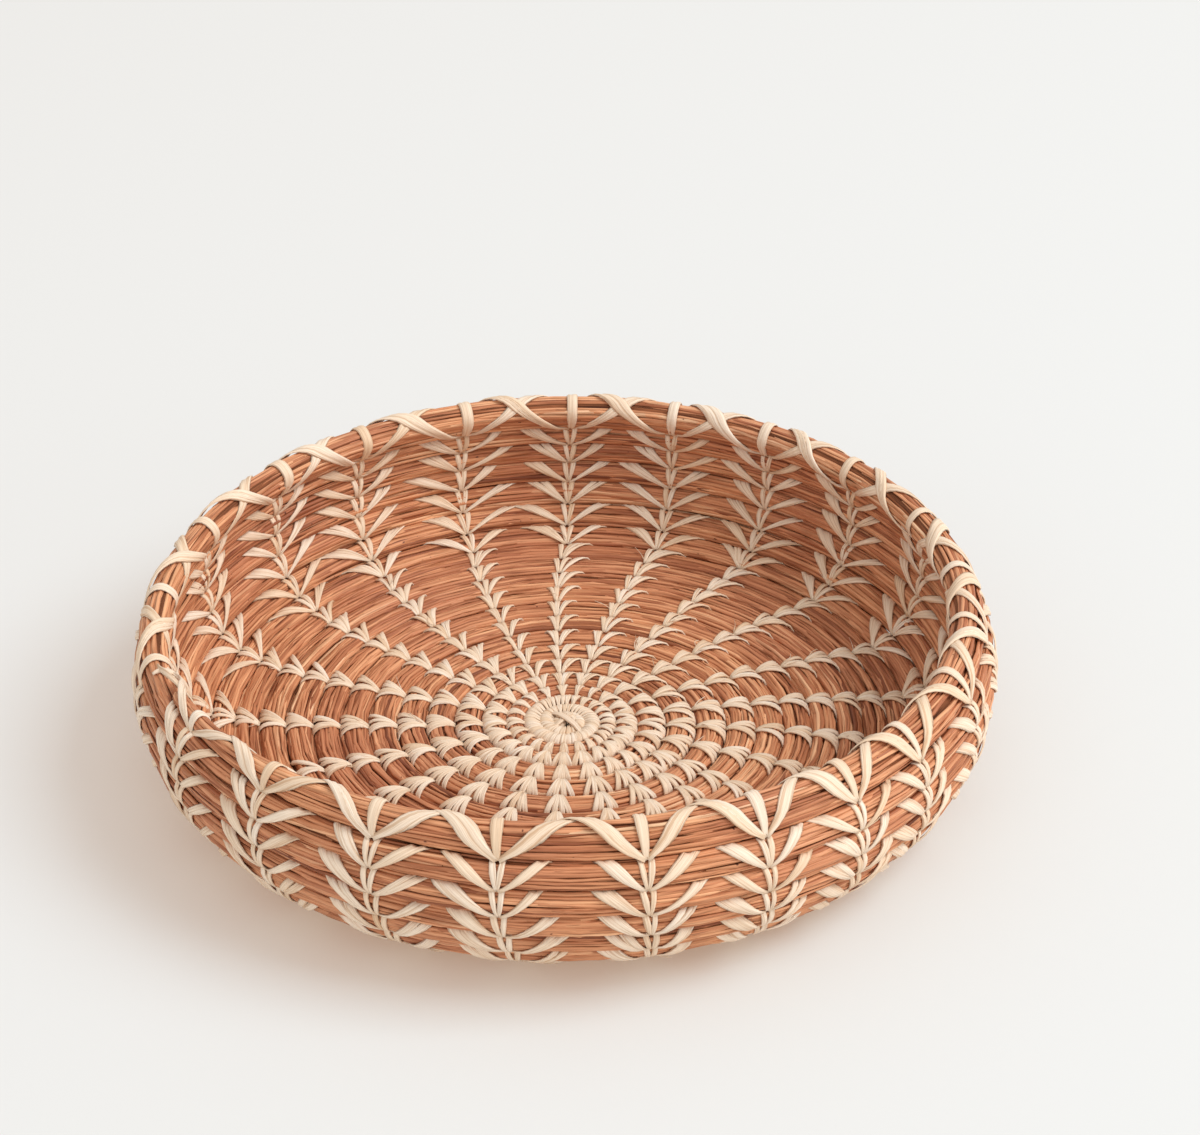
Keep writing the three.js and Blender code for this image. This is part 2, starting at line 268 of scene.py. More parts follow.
def strand_mesh(name, rings, fibre, shade, material, slot, nodes):
    """One mesh of closed tubes: quads between each ring and the next, and a cap on each end. It carries for
    every corner its place across and along its strand, the strand's number and the strand's shade."""
    strands, steps, sides = rings.shape[:3]
    number = np.arange(strands * steps * sides).reshape(strands, steps, sides)
    after = np.roll(number, -1, axis=2)
    quads = np.stack([number[:, :-1], number[:, 1:], after[:, 1:], after[:, :-1]], -1).reshape(-1, 4)
    caps = np.concatenate([number[:, 0], number[:, -1, ::-1]])
    corners = np.concatenate([quads.ravel(), caps.ravel()])
    starts = np.concatenate([np.arange(len(quads)) * 4, quads.size + np.arange(len(caps)) * sides])
    mesh = bpy.data.meshes.new(name)
    mesh.vertices.add(number.size)
    mesh.vertices.foreach_set("co", (rings * MM).astype(np.float32).ravel())
    mesh.loops.add(len(corners))
    mesh.loops.foreach_set("vertex_index", corners.astype(np.int32))
    mesh.polygons.add(len(starts))
    mesh.polygons.foreach_set("loop_start", starts.astype(np.int32))
    mesh.update(calc_edges=True)
    mesh.polygons.foreach_set("use_smooth", np.ones(len(starts), bool))
    place = np.zeros((strands, steps, sides, 3), np.float32)
    place[..., :2] = fibre
    place[..., 2] = (np.arange(strands) * NUMBER_STEP)[:, None, None]
    mesh.attributes.new("fibre", "FLOAT_VECTOR", "POINT").data.foreach_set("vector", place.ravel())
    shades = np.broadcast_to(shade[:, None, None], number.shape).astype(np.float32)
    mesh.attributes.new("shade", "FLOAT", "POINT").data.foreach_set("value", shades.ravel())
    mesh.materials.append(material)
    piece = bpy.data.objects.new(name, mesh)
    bpy.context.scene.collection.objects.link(piece)
    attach(piece, "root")
    if nodes:
        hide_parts(*nodes)
    return piece


# Camera

def place_camera():
    """The camera looks along +Y from above the front. It is first aimed at the middle of the floor coil and
    then turned so that this point falls on its pixel of the photograph."""
    cosine, sine = math.cos(CAMERA_ELEVATION), math.sin(CAMERA_ELEVATION)
    back = Vector((0, -cosine, sine))
    place = Vector((0, 0, FLOOR_MIDDLE_HEIGHT)) + back * CAMERA_DISTANCE
    to_right = math.atan((MIDDLE_IN_PHOTO[0] - PHOTO_WIDTH / 2) / FOCAL_PIXELS)
    downwards = math.atan((MIDDLE_IN_PHOTO[1] - PHOTO_HEIGHT / 2) / FOCAL_PIXELS)
    aim = -back - math.tan(to_right) * Vector((1, 0, 0)) + math.tan(downwards) * Vector((0, sine, cosine))
    aim.normalize()
    right = aim.cross(Vector((0, 0, 1))).normalized()
    up = right.cross(aim)
    data = bpy.data.cameras.new("photo_camera")
    data.sensor_width = SENSOR_WIDTH
    data.lens = FOCAL_PIXELS / PHOTO_WIDTH * SENSOR_WIDTH
    data.clip_start = 0.01
    data.clip_end = 20
    camera = bpy.data.objects.new("photo_camera", data)
    camera.matrix_world = Matrix.Translation(place * MM) @ Matrix((right, up, -aim)).transposed().to_4x4()
    bpy.context.scene.collection.objects.link(camera)
    bpy.context.scene.camera = camera


# Materials

def node_material(name, roughness, specular):
    material = bpy.data.materials.new(name)
    material.use_nodes = True
    shader = material.node_tree.nodes["Principled BSDF"]
    shader.inputs["Roughness"].default_value = roughness
    shader.inputs["Specular IOR Level"].default_value = specular
    return material, shader


def add_node(material, kind, **values):
    node = material.node_tree.nodes.new(kind)
    for key, value in values.items():
        setattr(node, key, value)
    return node


def join(material, output, socket):
    material.node_tree.links.new(output, socket)


def fibre_noise(material, across_scale, along_scale, detail):
    """Noise drawn out along the strand: its coordinates are millimetres across and along, and the strand's
    number as the third, so that no two strands have the same streaks."""
    place = add_node(material, "ShaderNodeAttribute", attribute_name="fibre")
    mapping = add_node(material, "ShaderNodeMapping")
    mapping.inputs["Scale"].default_value = (across_scale, along_scale, 1)
    noise = add_node(material, "ShaderNodeTexNoise")
    noise.inputs["Scale"].default_value = 1
    noise.inputs["Detail"].default_value = detail
    join(material, place.outputs["Vector"], mapping.inputs["Vector"])
    join(material, mapping.outputs["Vector"], noise.inputs["Vector"])
    return noise.outputs["Fac"]


def object_noise(material, scale):
    """Noise in the object's own metres, the same through every strand that lies there."""
    place = add_node(material, "ShaderNodeTexCoord")
    noise = add_node(material, "ShaderNodeTexNoise")
    noise.inputs["Scale"].default_value = scale
    noise.inputs["Detail"].default_value = 1.5
    join(material, place.outputs["Object"], noise.inputs["Vector"])
    return noise.outputs["Fac"]


def shade_of_strand(material):
    return add_node(material, "ShaderNodeAttribute", attribute_name="shade").outputs["Fac"]


def ramp(material, factor, stops):
    node = add_node(material, "ShaderNodeValToRGB")
    elements = node.color_ramp.elements
    while len(elements) < len(stops):
        elements.new(0.5)
    for element, (position, colour) in zip(elements, stops):
        element.position = position
        element.color = (*colour, 1)
    join(material, factor, node.inputs["Fac"])
    return node.outputs["Color"]


def multiply(material, strength, first, second):
    node = add_node(material, "ShaderNodeMix", data_type="RGBA", blend_type="MULTIPLY")
    node.inputs["Factor"].default_value = strength
    join(material, first, node.inputs["A"])
    join(material, second, node.inputs["B"])
    return node.outputs["Result"]


def raised(material, shader, height, distance, strength):
    bump = add_node(material, "ShaderNodeBump")
    bump.inputs["Distance"].default_value = distance
    bump.inputs["Strength"].default_value = strength
    join(material, height, bump.inputs["Height"])
    join(material, bump.outputs["Normal"], shader.inputs["Normal"])


def needle_material():
    """Dried pine needles: each has its own brown, with patches and fine darker lines along it. Some parts of
    the basket are pinker, and here and there a needle has a dark speck."""
    material, shader = node_material("pine_needles", 0.5, 0.3)
    browns = ramp(material, shade_of_strand(material), [
        (0.0, (0.25, 0.078, 0.032)),
        (0.2, (0.49, 0.180, 0.080)),
        (0.5, (0.69, 0.302, 0.146)),
        (0.8, (0.84, 0.430, 0.222)),
        (1.0, (0.92, 0.590, 0.355)),
    ])
    regions = ramp(material, object_noise(material, 24.0), [
        (0.36, (0.86, 0.79, 0.80)),
        (0.60, (1.0, 1.0, 1.0)),
    ])
    patches = ramp(material, fibre_noise(material, 0.5, 0.045, 2.0), [
        (0.30, (0.50, 0.355, 0.265)),
        (0.50, (1.0, 1.0, 1.0)),
    ])
    lines = fibre_noise(material, 3.6, 0.07, 2.0)
    streaks = ramp(material, lines, [(0.32, (0.43, 0.29, 0.20)), (0.48, (1.0, 1.0, 1.0))])
    specks = ramp(material, fibre_noise(material, 0.9, 0.55, 1.0), [
        (0.200, (0.25, 0.16, 0.14)),
        (0.230, (1.0, 1.0, 1.0)),
    ])
    colour = multiply(material, 1.0, browns, regions)
    colour = multiply(material, 0.75, colour, patches)
    colour = multiply(material, 0.65, colour, streaks)
    colour = multiply(material, 1.0, colour, specks)
    join(material, colour, shader.inputs["Base Color"])
    raised(material, shader, lines, 0.00012, 0.5)
    return material


def painted_shade_core_material():
    """The inside of the bundle, seen only through gaps between needles: streaked, and painted darker than the
    needles as painted shade for the depth between them.
    """
    material, shader = node_material("bundle_core", 0.8, 0.2)
    lines = fibre_noise(material, 2.5, 0.05, 3.0)
    # Painted shade: browns far darker than any needle, for the shade deep in the bundle
    join(material, ramp(material, lines, [
        (0.35, (0.08, 0.024, 0.010)),
        (0.6, (0.32, 0.110, 0.045)),
    ]), shader.inputs["Base Color"])
    raised(material, shader, lines, 0.0004, 1.0)
    return material


def raffia_material():
    """Raffia: pale cream ribbons of fine parallel fibres, some strands tanner than others."""
    material, shader = node_material("raffia", 0.5, 0.3)
    creams = ramp(material, shade_of_strand(material), [
        (0.0, (0.80, 0.560, 0.360)),
        (0.35, (0.87, 0.672, 0.488)),
        (0.7, (0.91, 0.742, 0.580)),
        (1.0, (0.94, 0.805, 0.670)),
    ])
    fibres = fibre_noise(material, 2.3, 0.035, 2.5)
    lines = ramp(material, fibres, [
        (0.30, (0.70, 0.56, 0.44)),
        (0.44, (0.94, 0.90, 0.86)),
        (0.58, (1.0, 1.0, 1.0)),
    ])
    hairs = ramp(material, fibre_noise(material, 8.0, 0.12, 1.0), [
        (0.35, (0.76, 0.69, 0.62)),
        (0.55, (1.0, 1.0, 1.0)),
    ])
    colour = multiply(material, 0.85, creams, lines)
    colour = multiply(material, 0.7, colour, hairs)
    join(material, colour, shader.inputs["Base Color"])
    raised(material, shader, fibres, 0.00032, 0.8)
    return material


# Needles

NEEDLE_LENGTH = 150.0
NEEDLE_LENGTH_OVER_RADIUS = 2.1
NEEDLES_ROUND = 44
NEEDLE_STEPS = 12
NEEDLE_HALF_WIDTH = 0.6
NEEDLE_HALF_HEIGHT = 0.38
NEEDLE_SECTION = np.array([(-1, 0), (-0.3, -0.9), (0.8, -0.6), (0.8, 0.6), (-0.3, 0.9)])
GOLDEN_TURN = FULL_TURN * 0.6180339887

# Two layers: how deep each lies under the bundle's skin, and how sparse the inner one is
OUTER_LAYER_DEPTH = 0.35
INNER_LAYER_DEPTH = 0.95
INNER_LAYER_SHARE = 0.5

# Shares of the mean length and size that needles have, their twist in radians, and how far they keep, in
# millimetres, from the ends of the coil
LENGTH_SHARES = (0.6, 1.35)
SIZE_SHARES = (0.75, 1.3)
TWIST = 0.4
FROM_COIL_START = 2.0
FROM_COIL_END = 0.5

# How needles leave their even places. Drifts, spread and sway are radians round the bundle, and lift, ripple
# and depth are millimetres
DRIFTING_SHARE = 0.14
FAR_DRIFT = 0.6
NEAR_DRIFT = 0.11
DRIFTING_LIFT = 0.05
PLACE_SPREAD = 0.05
SWAY = 0.04
RIPPLE = 0.2
TUCKED_SHARE = 0.16
TUCKED_DEPTH = 0.8
TUCKED_THINNING = 0.75

# Shades of needles, from 0 for the darkest brown to 1 for the palest
NEEDLE_SHADE = 0.52
CLUSTER_SHADE = 0.10
SHADE_SPREAD = 0.19
# Deeper needles are painted darker: painted shade for the shade below the outer needles
PAINTED_SHADE_BY_DEPTH = 0.12
# The rim's needles are painted paler: painted light for the stronger light on the rim's top
RIM_PAINTED_LIGHT = 0.13

# The tube under the needles, painted dark as painted shade
CORE_STEPS_PER_ROW = 90
CORE_SIDES = 16
CORE_SIDE_LIFT = 0.1
CORE_FACE_DEPTH = 1.2


def needle_length(radius):
    """Needles are shorter near the middle, where the coil bends tightly."""
    return np.minimum(NEEDLE_LENGTH, NEEDLE_LENGTH_OVER_RADIUS * radius)


NEEDLES_SO_FAR = np.concatenate([
    [0],
    np.cumsum(NEEDLES_ROUND / needle_length(radius_at(ROW_SAMPLES[:-1])) * np.diff(LENGTH_SAMPLES)),
])


def needle_layer(first_row, last_row, share_of_needles, depth, seed):
    """Needles laid along a stretch of the bundle, so many at once round it. Their places round it step by the
    golden turn, so that they cover it evenly. Most keep their place, and some drift across their
    neighbours. Each sways and ripples by a sine along it, and dips in and thins by a square at both ends.
    Neighbours are alike in shade, by a wave round and along the bundle."""
    random = np.random.default_rng(seed)
    first, last = np.interp([first_row, last_row], ROW_SAMPLES, NEEDLES_SO_FAR) * share_of_needles
    count = int(last - first)
    middles = np.interp((first + np.arange(count) + 0.5) / share_of_needles, NEEDLES_SO_FAR, LENGTH_SAMPLES)
    radius = radius_at(np.interp(middles, LENGTH_SAMPLES, ROW_SAMPLES))
    whole = needle_length(radius) * random.uniform(*LENGTH_SHARES, count)
    share = np.linspace(-0.5, 0.5, NEEDLE_STEPS)
    run = middles[:, None] + whole[:, None] * share
    run = np.clip(run, FROM_COIL_START, LENGTH_SAMPLES[-1] - FROM_COIL_END)
    row = np.interp(run, LENGTH_SAMPLES, ROW_SAMPLES)
    phase = random.uniform(0, FULL_TURN, (2, count, 1))
    drifts = random.uniform(0, 1, (count, 1)) < DRIFTING_SHARE
    drift = random.normal(0, 1, (count, 1)) * np.where(drifts, FAR_DRIFT, NEAR_DRIFT)
    turn = np.arange(count)[:, None] * GOLDEN_TURN + random.normal(0, PLACE_SPREAD, (count, 1))
    turn = turn + drift * 2 * share + SWAY * np.sin(share * 9 + phase[0])
    tucked = np.clip(np.abs(2 * share) - (1 - TUCKED_SHARE), 0, 1) / TUCKED_SHARE
    lift = np.where(drifts, DRIFTING_LIFT, 0.0) - depth + RIPPLE * np.sin(share * 8 + phase[1])
    lift = lift - TUCKED_DEPTH * tucked ** 2
    size = random.uniform(*SIZE_SHARES, (count, 1)) * (1 - TUCKED_THINNING * tucked ** 2)
    out = unit(on_bundle(row, turn, lift + 0.5) - on_bundle(row, turn, lift - 0.5))
    rings, fibre = rings_about(
        on_bundle(row, turn, lift), out, NEEDLE_HALF_WIDTH * size, NEEDLE_HALF_HEIGHT * size, NEEDLE_SECTION,
        random.uniform(-TWIST, TWIST, (count, 1)) * np.ones(NEEDLE_STEPS),
    )
    half_way = NEEDLE_STEPS // 2
    cluster = np.sin(2.5 * turn[:, half_way] + middles / 23 + 3 * np.sin(middles / 61))
    shade = NEEDLE_SHADE + CLUSTER_SHADE * cluster + random.normal(0, SHADE_SPREAD, count)
    # Painted shade: the deeper a layer lies, the darker its needles
    shade = shade - PAINTED_SHADE_BY_DEPTH * depth
    # Painted light: the rim's needles are paler where the rim swells
    shade = shade + RIM_PAINTED_LIGHT * np.clip((row[:, half_way] - WALL_END) / RIM_SWELL_ROWS, 0, 1)
    return rings, fibre, np.clip(shade, 0, 1)


def needle_bundle(name, node, first_row, last_row, seed):
    """Two layers of needles in one mesh: a close outer one and a sparser one below it."""
    outer = needle_layer(first_row, last_row, 1.0, OUTER_LAYER_DEPTH, seed)
    inner = needle_layer(first_row, last_row, INNER_LAYER_SHARE, INNER_LAYER_DEPTH, seed + 1)
    rings, fibre, shade = (np.concatenate(both) for both in zip(outer, inner))
    return strand_mesh(name, rings, fibre, shade, NEEDLES, "needles", [node])


def bundle_core(name, first_row, last_row):
    """A dark tube inside the bundle, an oval ring every few degrees: its darkness is painted shade for the
    depth between needles. It lies below the needles, and at its sides it meets the tube of the next row, so
    that no light falls through between rows."""
    steps = int((last_row - first_row) * CORE_STEPS_PER_ROW) + 1
    row = np.linspace(first_row, last_row, steps)[None, :, None]
    turn = np.linspace(0, FULL_TURN, CORE_SIDES, endpoint=False)
    rings = on_bundle(row, turn, CORE_SIDE_LIFT - CORE_FACE_DEPTH * np.abs(np.sin(turn)))
    run = np.interp(row, ROW_SAMPLES, LENGTH_SAMPLES)
    around = np.broadcast_to(turn * BUNDLE_HALF_THICKNESS, rings.shape[:3])
    fibre = np.stack([around, np.broadcast_to(run, around.shape)], -1)
    return strand_mesh(name, rings[:, :, ::-1], fibre, np.zeros(1), PAINTED_SHADE_CORE, "needles", [])


# Raffia

# Sections of a strand, from its left edge round: a ribbon is ridged on top, a loose fibre is a flat triangle
RIBBON_SECTION = np.array([
    (-1, 0.06), (-0.35, 0), (0.4, 0), (1, 0.06), (0.78, 0.38), (0.3, 0.5), (-0.15, 0.33), (-0.62, 0.48),
])
FIBRE_SECTION = np.array([(-1, 0), (1, 0), (0, 0.22)])

# Rings along a strand, and samples of the skin round the bundle
STITCH_STEPS = 9
LONG_STITCH_STEPS = 20
SKIN_STEPS = 721

# How strands lie on the bundle and cross its grooves
SEEN_SHARE = 0.75
CREST_STRETCH = 1.25
CREST_SIDE_SHARE = 0.9
GROOVE_EDGE = math.radians(5)
DEEPEST_BURIED = 1.5
BRIDGE_TURN = math.radians(128)
BRIDGE_REACH = 2.2
BRIDGE_DIP = 0.4
SUNK_DEPTH = 0.5
SUNK_SHARE = 0.12

# Places on the skin laid flat, in millimetres from the middle of the groove to the next row
NODE_RUN = 11.2
RIM_NODE_RUN = 12.1
WINDING_RUN = 11.5
OPEN_RUN = 0.6
TUCKED_RUN = -1.8

# Leaves of the fern stitch: how far each reaches beside the line, and the mean and spread of widths
LEAF_REACH = 11.8
LOWEST_LEAF_REACH = 10.0
LEAF_REACH_SPREAD = 1.4
BROAD_LEAF = (4.3, 0.4)
NARROW_LEAF = (3.1, 0.3)
ONE_RIBBON_SHARE = 0.7

# Strands over the rim: mean and spread of widths, of the wrap at the line and of the two that cross
RIM_WRAP = (3.4, 0.25)
RIM_SINGLE = (3.5, 0.25)
RIM_BROAD = (4.6, 0.25)

# Fans of the floor: where each finger ends beside the line, clockwise counted up, and its width. A finger
# that ends further than the horn's reach is a horn
BUTTON_FAN = [(-0.75, 1.6), (0.75, 1.6)]
START_FAN = [(-2.4, 1.6), (-0.85, 1.7), (0.85, 1.7), (2.4, 1.6)]
INNER_FAN = [(-3.1, 1.65), (-1.1, 1.75), (1.1, 1.75), (3.2, 1.65)]
MIDDLE_FAN = [(-2.7, 1.75), (-0.5, 1.75), (1.7, 1.7), (4.0, 1.65)]
OUTER_FAN_LEGS = [(-2.1, 1.9), (0.1, 1.9)]
OUTER_FAN_EXTRA = (2.5, 1.7)
HORN_REACH = 3.6

# Where the kinds of fans change: first a row, then shares of the way from the start to the floor's edge
BUTTON_FAN_END = 1.4
INNER_FAN_END = 0.3
MIDDLE_FAN_END = 0.6

# How far the fans reach clockwise, and the azimuth where they are even
FAN_REACH = 1.3
EVEN_FANS_AZIMUTH = math.radians(265)

# Strands drawn over the button: from x and y to x and y, width and height
BUTTON_CROSSINGS = np.array([
    (-4.5, 4.0, 4.5, -6.5, 2.2, 8.5),
    (-3.5, -3.0, 2.5, 3.5, 1.9, 8.0),
    (-1.5, 4.5, 3.0, -1.0, 1.8, 7.8),
])

# How far apart strands are wound round the first turns, and how many loose fibres there are
WINDING_STEP = 1.4
FRAYED_FIBRES = 130

# Seeds of the random draws. A line of stitches adds its number
WALL_SEED = 1000
FLOOR_SEED = 2000
START_SEED = 3000
RIM_SEED = 4000
FRAYED_SEED = 5000


def skin_run(turn, over_crest):
    """How far round the bundle a turn is, on its skin laid flat, in millimetres. Near a groove it follows
    mostly the place seen square to the wall, because a taut strand looks straight from there. Over the rim's
    open crest it follows the arc, which is longer there."""
    size = np.abs(turn)
    seen = 0.5 * math.pi * (1 - squared(np.cos(turn)))
    run = SEEN_SHARE * seen + (1 - SEEN_SHARE) * size
    if over_crest:
        beyond = CREST_SIDE_SHARE * (run - 0.5 * math.pi)
        run = np.where(size < 0.5 * math.pi, CREST_STRETCH * size, CREST_STRETCH * 0.5 * math.pi + beyond)
    return np.sign(turn) * BUNDLE_HALF_THICKNESS * run


def on_strand_bed(row, turn, lift):
    """Points where a taut strand lies: on the bundle's skin as far as the bridge turn, and from there
    straight across the groove to the skin of the row before."""
    middle, half_width, half_thickness = bundle_at(row)
    held = np.clip(turn, -BRIDGE_TURN, BRIDGE_TURN)
    over = np.abs(turn - held) / (math.pi - BRIDGE_TURN)
    along = middle + (half_width + lift) * squared(np.cos(held)) - BRIDGE_REACH * over
    inward = (half_thickness + lift) * squared(np.sin(held)) - BRIDGE_DIP * over * np.sign(held)
    radius, height = wall_point(along, inward)
    azimuth = azimuth_at(row)
    return np.stack([radius * np.cos(azimuth), radius * np.sin(azimuth), height], -1)


def ribbon_rings(row, run, side, lift, roll, half_width, lowest, highest, section, over_crest):
    """Rings of ribbons that hug the bundle. A ribbon's corner is set off square to its path on the skin laid
    flat, and then put back on the skin. What would pass the groove's edge goes down into the groove instead,
    which cuts the ribbon off along the groove."""
    turns = np.linspace(-math.pi, math.pi, SKIN_STEPS)
    runs = skin_run(turns, over_crest)
    run_step = np.gradient(run, axis=1)
    side_step = np.gradient(side, axis=1)
    step = np.hypot(run_step, side_step)
    offset = -section[:, 0] * half_width[..., None]
    corner_run = run[..., None] - offset * (side_step / step)[..., None]
    corner_side = side[..., None] + offset * (run_step / step)[..., None]
    corner_turn = np.interp(corner_run, runs, turns)
    kept_turn = np.clip(corner_turn, lowest[..., None], highest[..., None])
    buried = np.minimum(np.abs(corner_run - skin_run(kept_turn, over_crest)), DEEPEST_BURIED)
    height = lift[..., None] + roll[..., None] * offset + section[:, 1] - 0.5 * buried
    corner_row = row[..., None] + corner_side / (FULL_TURN * radius_at(row))[..., None]
    fibre = np.stack([offset, np.broadcast_to(step.cumsum(1)[..., None], offset.shape)], -1)
    return on_strand_bed(corner_row, kept_turn, height), fibre


class Strands:
    """A list of raffia strands that all become one mesh. Each goes over one row, from one place round the
    bundle to another, and sideways by so many millimetres clockwise of the stitch line."""

    def __init__(self, seed, over_crest=False):
        self.random = np.random.default_rng(seed)
        self.over_crest = over_crest
        self.rows = []

    def add(self, row, runs, sides, widths, lift=0.1, rise=0.0, bow=0.0, hump=0.0, roll=0.0, full_at=0.4,
            narrow_from=None, shade=None):
        if shade is None:
            shade = self.random.normal(0.62, 0.17)
        if narrow_from is None:
            narrow_from = full_at
        shape = (lift, rise, bow, hump, roll, full_at, narrow_from, shade)
        self.rows.append((row, *runs, *sides, *widths, *shape))

    def stitch(self, row, face, start, reach, widths, **more):
        """A strand over one row on one face, from the node in the groove below it to the groove above it,
        where it comes to the reach as it goes under the next row. The reach is counted from the line, which
        leans less at the next row."""
        reach = reach + (lean_at(row) - lean_at(row + 1)) * radius_at(row)
        full_reach = start + (reach - start) * (NODE_RUN - TUCKED_RUN) / (NODE_RUN - OPEN_RUN)
        self.add(row, (face * NODE_RUN, face * TUCKED_RUN), (start, full_reach), widths, **more)

    def rings(self, steps, section):
        """Along a strand its place round the bundle and sideways change evenly. The bow adds a half wave
        sideways and the hump a half wave outwards, and the rise lifts the far end. The width grows evenly to
        its middle value at full_at of the way, and changes evenly to its last from narrow_from on. At its
        start a strand comes up out of the groove."""
        table = np.array(self.rows, float).T[:, :, None]
        row, run_from, run_to, side_from, side_to, first, full, last = table[:8]
        lift, rise, bow, hump, roll, full_at, narrow_from, shade = table[8:]
        share = np.linspace(0, 1, steps)
        wave = np.sin(math.pi * share)
        side = side_from + (side_to - side_from) * share + bow * wave
        run = run_from + (run_to - run_from) * share
        width = first + (full - first) * np.clip(share / full_at, 0, 1)
        width = width + (last - full) * np.clip((share - narrow_from) / (1 - narrow_from), 0, 1)
        furthest = math.pi - GROOVE_EDGE
        lowest = np.where(np.minimum(run_from, run_to) < TUCKED_RUN - 0.5, -furthest, GROOVE_EDGE)
        highest = np.where(np.maximum(run_from, run_to) > 0.5 - TUCKED_RUN, furthest, -GROOVE_EDGE)
        sunk = SUNK_DEPTH * (1 - smooth_step(share / SUNK_SHARE))
        rings, fibre = ribbon_rings(
            row, run, side, lift + hump * wave + rise * share ** 2 - sunk, roll * wave, width / 2,
            lowest, highest, section, self.over_crest,
        )
        return rings, fibre, np.clip(shade[:, 0], 0, 1)

    def mesh(self, name, nodes, steps=STITCH_STEPS, section=RIBBON_SECTION, slot="raffia_stitch"):
        return strand_mesh(name, *self.rings(steps, section), RAFFIA, slot, nodes)


def rows_on_line(line, first_row, last_row):
    """The rows, with their fraction, at which the coil passes a line of stitches: one in each whole row."""
    share = ((RIM_END_AZIMUTH - line_azimuth(line)) / FULL_TURN) % 1
    straight = np.arange(first_row, last_row) + share
    return [float(row) for row in straight - lean_at(straight) / FULL_TURN]


def add_leaf(strands, row, face, way, reach, width):
    """A leaf from the node below a row to the groove above it, wedge-shaped: one ribbon, or two that part
    towards the end."""
    random = strands.random
    shade = random.normal(0.64, 0.15)
    bow = way * random.normal(0.15, 0.25)
    if random.uniform() < ONE_RIBBON_SHARE:
        parts = [(reach, width, bow)]
    else:
        parts = [(reach, width * 0.6, bow), (reach - way * width * 0.8, width * 0.6, bow - way * 0.3)]
    for number, (part_reach, part_width, part_bow) in enumerate(parts):
        strands.stitch(
            row, face, way * (0.3 + 0.2 * number), part_reach,
            (0.9, part_width, part_width * random.uniform(0.85, 1.1)),
            lift=0.22 - 0.1 * number,
            bow=part_bow,
            hump=0.12,
            roll=random.normal(0, 0.06),
            full_at=random.uniform(0.5, 0.75),
            shade=shade + random.normal(0, 0.05),
        )


def add_stems(strands, row, face):
    """The two narrow strands that join a node to the next one up, as a V."""
    random = strands.random
    for way in (1, -1):
        strands.stitch(
            row, face, way * 0.1, way * random.uniform(1.1, 1.6),
            (0.8, random.uniform(1.5, 2.0), random.uniform(1.3, 1.8)),
            bow=way * random.uniform(-0.1, 0.2),
            hump=0.1,
            roll=random.normal(0, 0.06),
            full_at=0.5,
        )


def wall_stitches(line):
    """The stitches of one line on the wall, inside and outside: at each row a leaf to each side and two
    stems. Outside the clockwise leaf is the broad one, inside the other one is."""
    strands = Strands(WALL_SEED + line)
    random = strands.random
    for row in rows_on_line(line, FLOOR_END, WALL_END):
        for face in (1, -1):
            mean_reach = LEAF_REACH if row > FLOOR_END + 1 else LOWEST_LEAF_REACH
            for way in (1, -1):
                mean_width, width_spread = BROAD_LEAF if way != face else NARROW_LEAF
                width = random.normal(mean_width, width_spread)
                reach = way * (mean_reach + random.normal(0, LEAF_REACH_SPREAD))
                add_leaf(strands, row, face, way, reach, width)
            add_stems(strands, row, face)
    return strands


def rim_stitches(line):
    """Over the rim: a wrap at the line, and strands from this line's inside node to the outside nodes of
    both neighbour lines, so that they cross on top about half way to each. The broad one of these is one to
    three strands side by side."""
    strands = Strands(RIM_SEED + line, over_crest=True)
    random = strands.random
    row = rows_on_line(line, WALL_END, COIL_END)[0]
    to_lower = (line_azimuth(line) - line_azimuth(line - 1)) % FULL_TURN * radius_at(row)
    to_higher = (line_azimuth(line + 1) - line_azimuth(line)) % FULL_TURN * radius_at(row)
    strands.add(
        row, (RIM_NODE_RUN, -RIM_NODE_RUN), (0.2, 0), (1.6, random.normal(*RIM_WRAP), 1.4),
        bow=random.normal(0.9, 0.5), hump=0.35, full_at=0.3, narrow_from=0.72, roll=random.normal(0, 0.04),
    )
    strands.add(
        row, (RIM_NODE_RUN, -RIM_NODE_RUN), (0.4, to_lower - 0.4), (1.1, random.normal(*RIM_SINGLE), 1.5),
        bow=random.normal(0, 0.5), hump=0.2, full_at=0.5, narrow_from=0.74, roll=random.normal(0, 0.05),
    )
    over_end = 1 if row - WALL_END < LINE_STEP / FULL_TURN else 0
    count = int(random.choice([1, 2, 3], p=[0.4, 0.4, 0.2]))
    broad = random.normal(*RIM_BROAD)
    for number in range(count):
        offset = (number - (count - 1) / 2) * broad * 0.85 / count
        strands.add(
            row + over_end, (RIM_NODE_RUN, -RIM_NODE_RUN), (-0.4, 0.4 - to_higher),
            (1.2, broad / count * (1 + 0.12 * (count - 1)), 1.6),
            lift=0.15 + 0.1 * number, bow=offset, hump=0.55, full_at=0.5, narrow_from=0.78,
            roll=random.normal(0, 0.05),
        )
    if over_end:
        add_tie_off(strands, row)
    return strands


def add_tie_off(strands, row):
    """Where the rim ends, the last raffia is folded over itself at the inside node as a broad loose leaf."""
    strands.add(
        row, (10.0, 1.5), (0.5, -7.5), (2.0, 5.0, 1.2), lift=0.9, hump=0.8, bow=0.8, full_at=0.45, shade=0.8,
    )
    strands.add(
        row, (9.0, -4.0), (-1.0, -6.0), (1.2, 3.0, 1.0), lift=0.5, hump=0.5, bow=-0.8, full_at=0.5, shade=0.7,
    )


